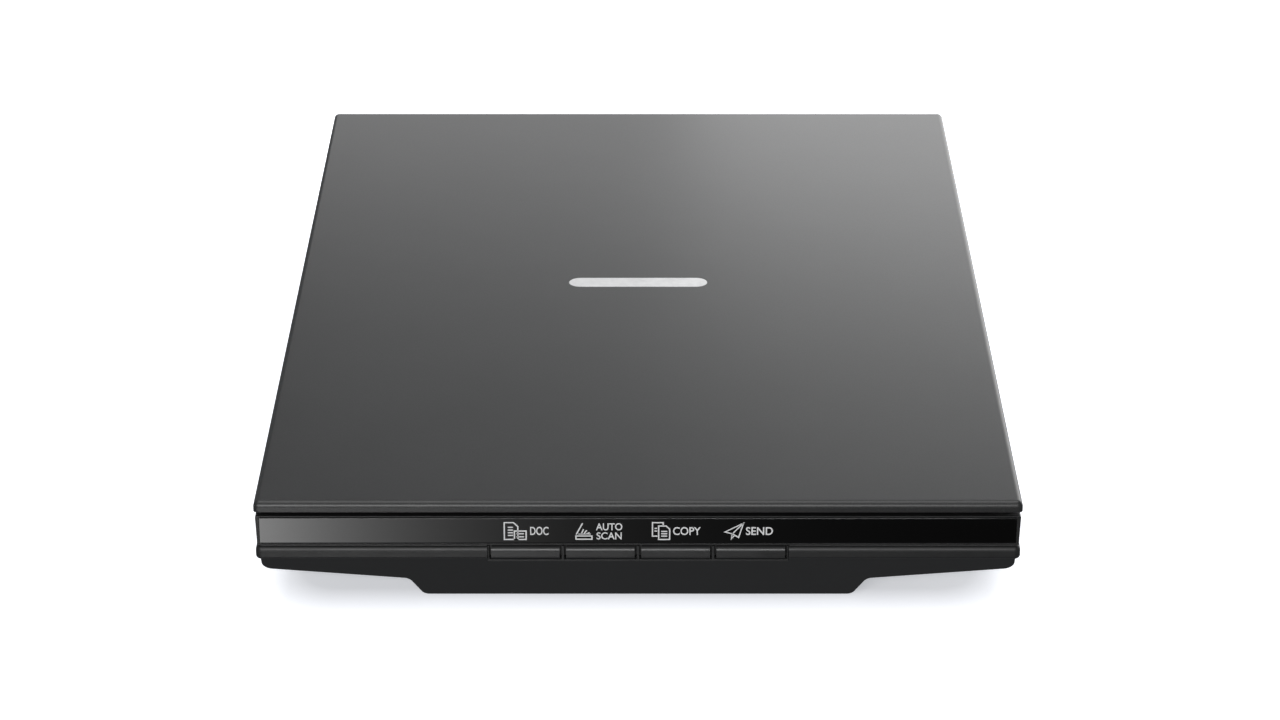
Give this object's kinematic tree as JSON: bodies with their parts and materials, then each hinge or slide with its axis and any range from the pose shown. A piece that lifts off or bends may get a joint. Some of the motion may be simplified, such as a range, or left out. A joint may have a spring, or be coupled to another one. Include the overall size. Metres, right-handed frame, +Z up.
{
  "type": "flatbed book scanner",
  "caption": "Low flatbed scanner with a hinged, lifting lid over a glass platen, push buttons in its front rim, and a belt-driven sensor carriage inside.",
  "frame": {"origin": "middle of the closed scanner's footprint, on the surface that its feet stand on", "axes": "+X to the right seen from the buttons, +Y to the back where the lid is hinged, +Z up"},
  "size_m": [0.25, 0.367, 0.042],
  "materials": {
    "lid_metallic": "dark grey moulded plastic with a fine metallic grain",
    "badge_silver": "satin silver",
    "case_black": "black moulded plastic with a fine spark-eroded texture",
    "inner_black": "plain black moulded plastic",
    "strip_gloss": "polished black plastic with printed light grey labels",
    "button_grey": "satin dark grey plastic",
    "rubber_black": "moulded black rubber",
    "platen_clear": "clear float glass",
    "tape_black": "double-sided tape",
    "sheet_white": "white diffusing film",
    "foam_grey": "open-cell foam",
    "steel_bright": "ground and plated steel",
    "steel_dark": "black zinc-plated steel",
    "motor_steel": "galvanised sheet steel",
    "bush_bronze": "oiled sintered bronze and turned brass",
    "acetal_white": "natural acetal",
    "belt_rubber": "black polyurethane belt",
    "circuit_board": "green solder mask on glass laminate",
    "chip_black": "moulded epoxy and sleeved cans",
    "ribbon_white": "flat flexible cable",
    "sensor_glass": "thin clear glass",
    "lens_dark": "row of graded-index rod lenses",
    "light_guide": "clear acrylic light guide"
  },
  "bodies": {
    "base": {"board_components": "chip_black", "board_connectors": "acetal_white", "button_board": "circuit_board", "button_comb": "inner_black", "button_ribbon": "ribbon_white", "button_switches": "chip_black", "calibration_strip": "sheet_white", "case_screws": "steel_dark", "drive_belt": "belt_rubber", "foot_back_left": "rubber_black", "foot_back_right": "rubber_black", "foot_front_left": "rubber_black", "foot_front_right": "rubber_black", "front_strip": "strip_gloss", "glass_tape": "tape_black", "guide_rod": "steel_bright", "hinge_guide_left": "inner_black", "hinge_guide_right": "inner_black", "idler_bracket": "motor_steel", "idler_spring": "steel_bright", "lower_case": "case_black", "main_board": "circuit_board", "motor_cable": "ribbon_white", "motor_can": "motor_steel", "motor_flange": "motor_steel", "platen_frame": "case_black", "platen_glass": "platen_clear", "pulley_axles": "steel_bright", "rod_clips": "steel_dark", "sensor_ribbon": "ribbon_white", "tapping_screws": "steel_bright", "usb_port": "steel_bright"},
    "hinge_posts": {"hinge_post_left": "inner_black", "hinge_post_right": "inner_black"},
    "lid": {"lid_shell": "lid_metallic", "lid_badge": "badge_silver", "lid_liner": "inner_black", "lid_sponge": "foam_grey", "lid_white_sheet": "sheet_white", "lid_bumpers": "rubber_black", "hinge_pins": "steel_bright"},
    "carriage": {"carriage_frame": "inner_black", "rod_bushes": "bush_bronze", "belt_clamp": "acetal_white", "sensor_springs": "steel_bright"},
    "sensor": {"sensor_housing": "inner_black", "sensor_cover_glass": "sensor_glass", "sensor_lens_array": "lens_dark", "sensor_light_guide": "light_guide", "sensor_board": "circuit_board", "sensor_plug": "acetal_white"},
    "motor_rotor": {"motor_pinion": "bush_bronze", "motor_shaft": "steel_bright"},
    "drive_gear": {"drive_gear": "acetal_white"},
    "idler_pulley": {"idler_pulley": "acetal_white"},
    "button_document": {"button_document": "button_grey"},
    "button_auto_scan": {"button_auto_scan": "button_grey"},
    "button_copy": {"button_copy": "button_grey"},
    "button_send": {"button_send": "button_grey"}
  },
  "joints": [
    {"name": "lid_lift", "type": "slide", "parent": "base", "child": "hinge_posts", "axis": [0, 0, 1], "range_m": [0, 0.02]},
    {"name": "lid_open", "type": "hinge", "parent": "hinge_posts", "child": "lid", "pos_m": [0, 0.1785, 0.0369], "axis": [-1, 0, 0], "range_deg": [0, 100]},
    {"name": "carriage_slide", "type": "slide", "parent": "base", "child": "carriage", "axis": [0, -1, 0], "range_m": [0, 0.302], "deforming": ["sensor_ribbon"]},
    {"name": "sensor_float", "type": "slide", "parent": "carriage", "child": "sensor", "axis": [0, 0, 1], "range_m": [-0.001, 0], "stiffness_N_per_m": 1000, "springref_m": 0.002, "deforming": ["sensor_springs"]},
    {"name": "gear_spin", "type": "hinge", "parent": "base", "child": "drive_gear", "pos_m": [0.008, 0.1596, 0.006], "axis": [0, 0, 1], "continuous": true},
    {"name": "motor_spin", "type": "hinge", "parent": "base", "child": "motor_rotor", "pos_m": [0.026, 0.1596, 0.006], "axis": [0, 0, 1], "continuous": true},
    {"name": "idler_spin", "type": "hinge", "parent": "base", "child": "idler_pulley", "pos_m": [0.0055, -0.1635, 0.0106], "axis": [0, 0, 1], "continuous": true},
    {"name": "button_document_press", "type": "slide", "parent": "base", "child": "button_document", "axis": [0, 1, 0], "range_m": [0, 0.0006], "stiffness_N_per_m": 1500, "springref_m": -0.0005},
    {"name": "button_auto_scan_press", "type": "slide", "parent": "base", "child": "button_auto_scan", "axis": [0, 1, 0], "range_m": [0, 0.0006], "stiffness_N_per_m": 1500, "springref_m": -0.0005},
    {"name": "button_copy_press", "type": "slide", "parent": "base", "child": "button_copy", "axis": [0, 1, 0], "range_m": [0, 0.0006], "stiffness_N_per_m": 1500, "springref_m": -0.0005},
    {"name": "button_send_press", "type": "slide", "parent": "base", "child": "button_send", "axis": [0, 1, 0], "range_m": [0, 0.0006], "stiffness_N_per_m": 1500, "springref_m": -0.0005}
  ],
  "couplings": [
    {"joint": "gear_spin", "follows": "carriage_slide", "rad_per_m": 153.85},
    {"joint": "motor_spin", "follows": "carriage_slide", "rad_per_m": -637.36},
    {"joint": "idler_spin", "follows": "carriage_slide", "rad_per_m": 250}
  ]
}
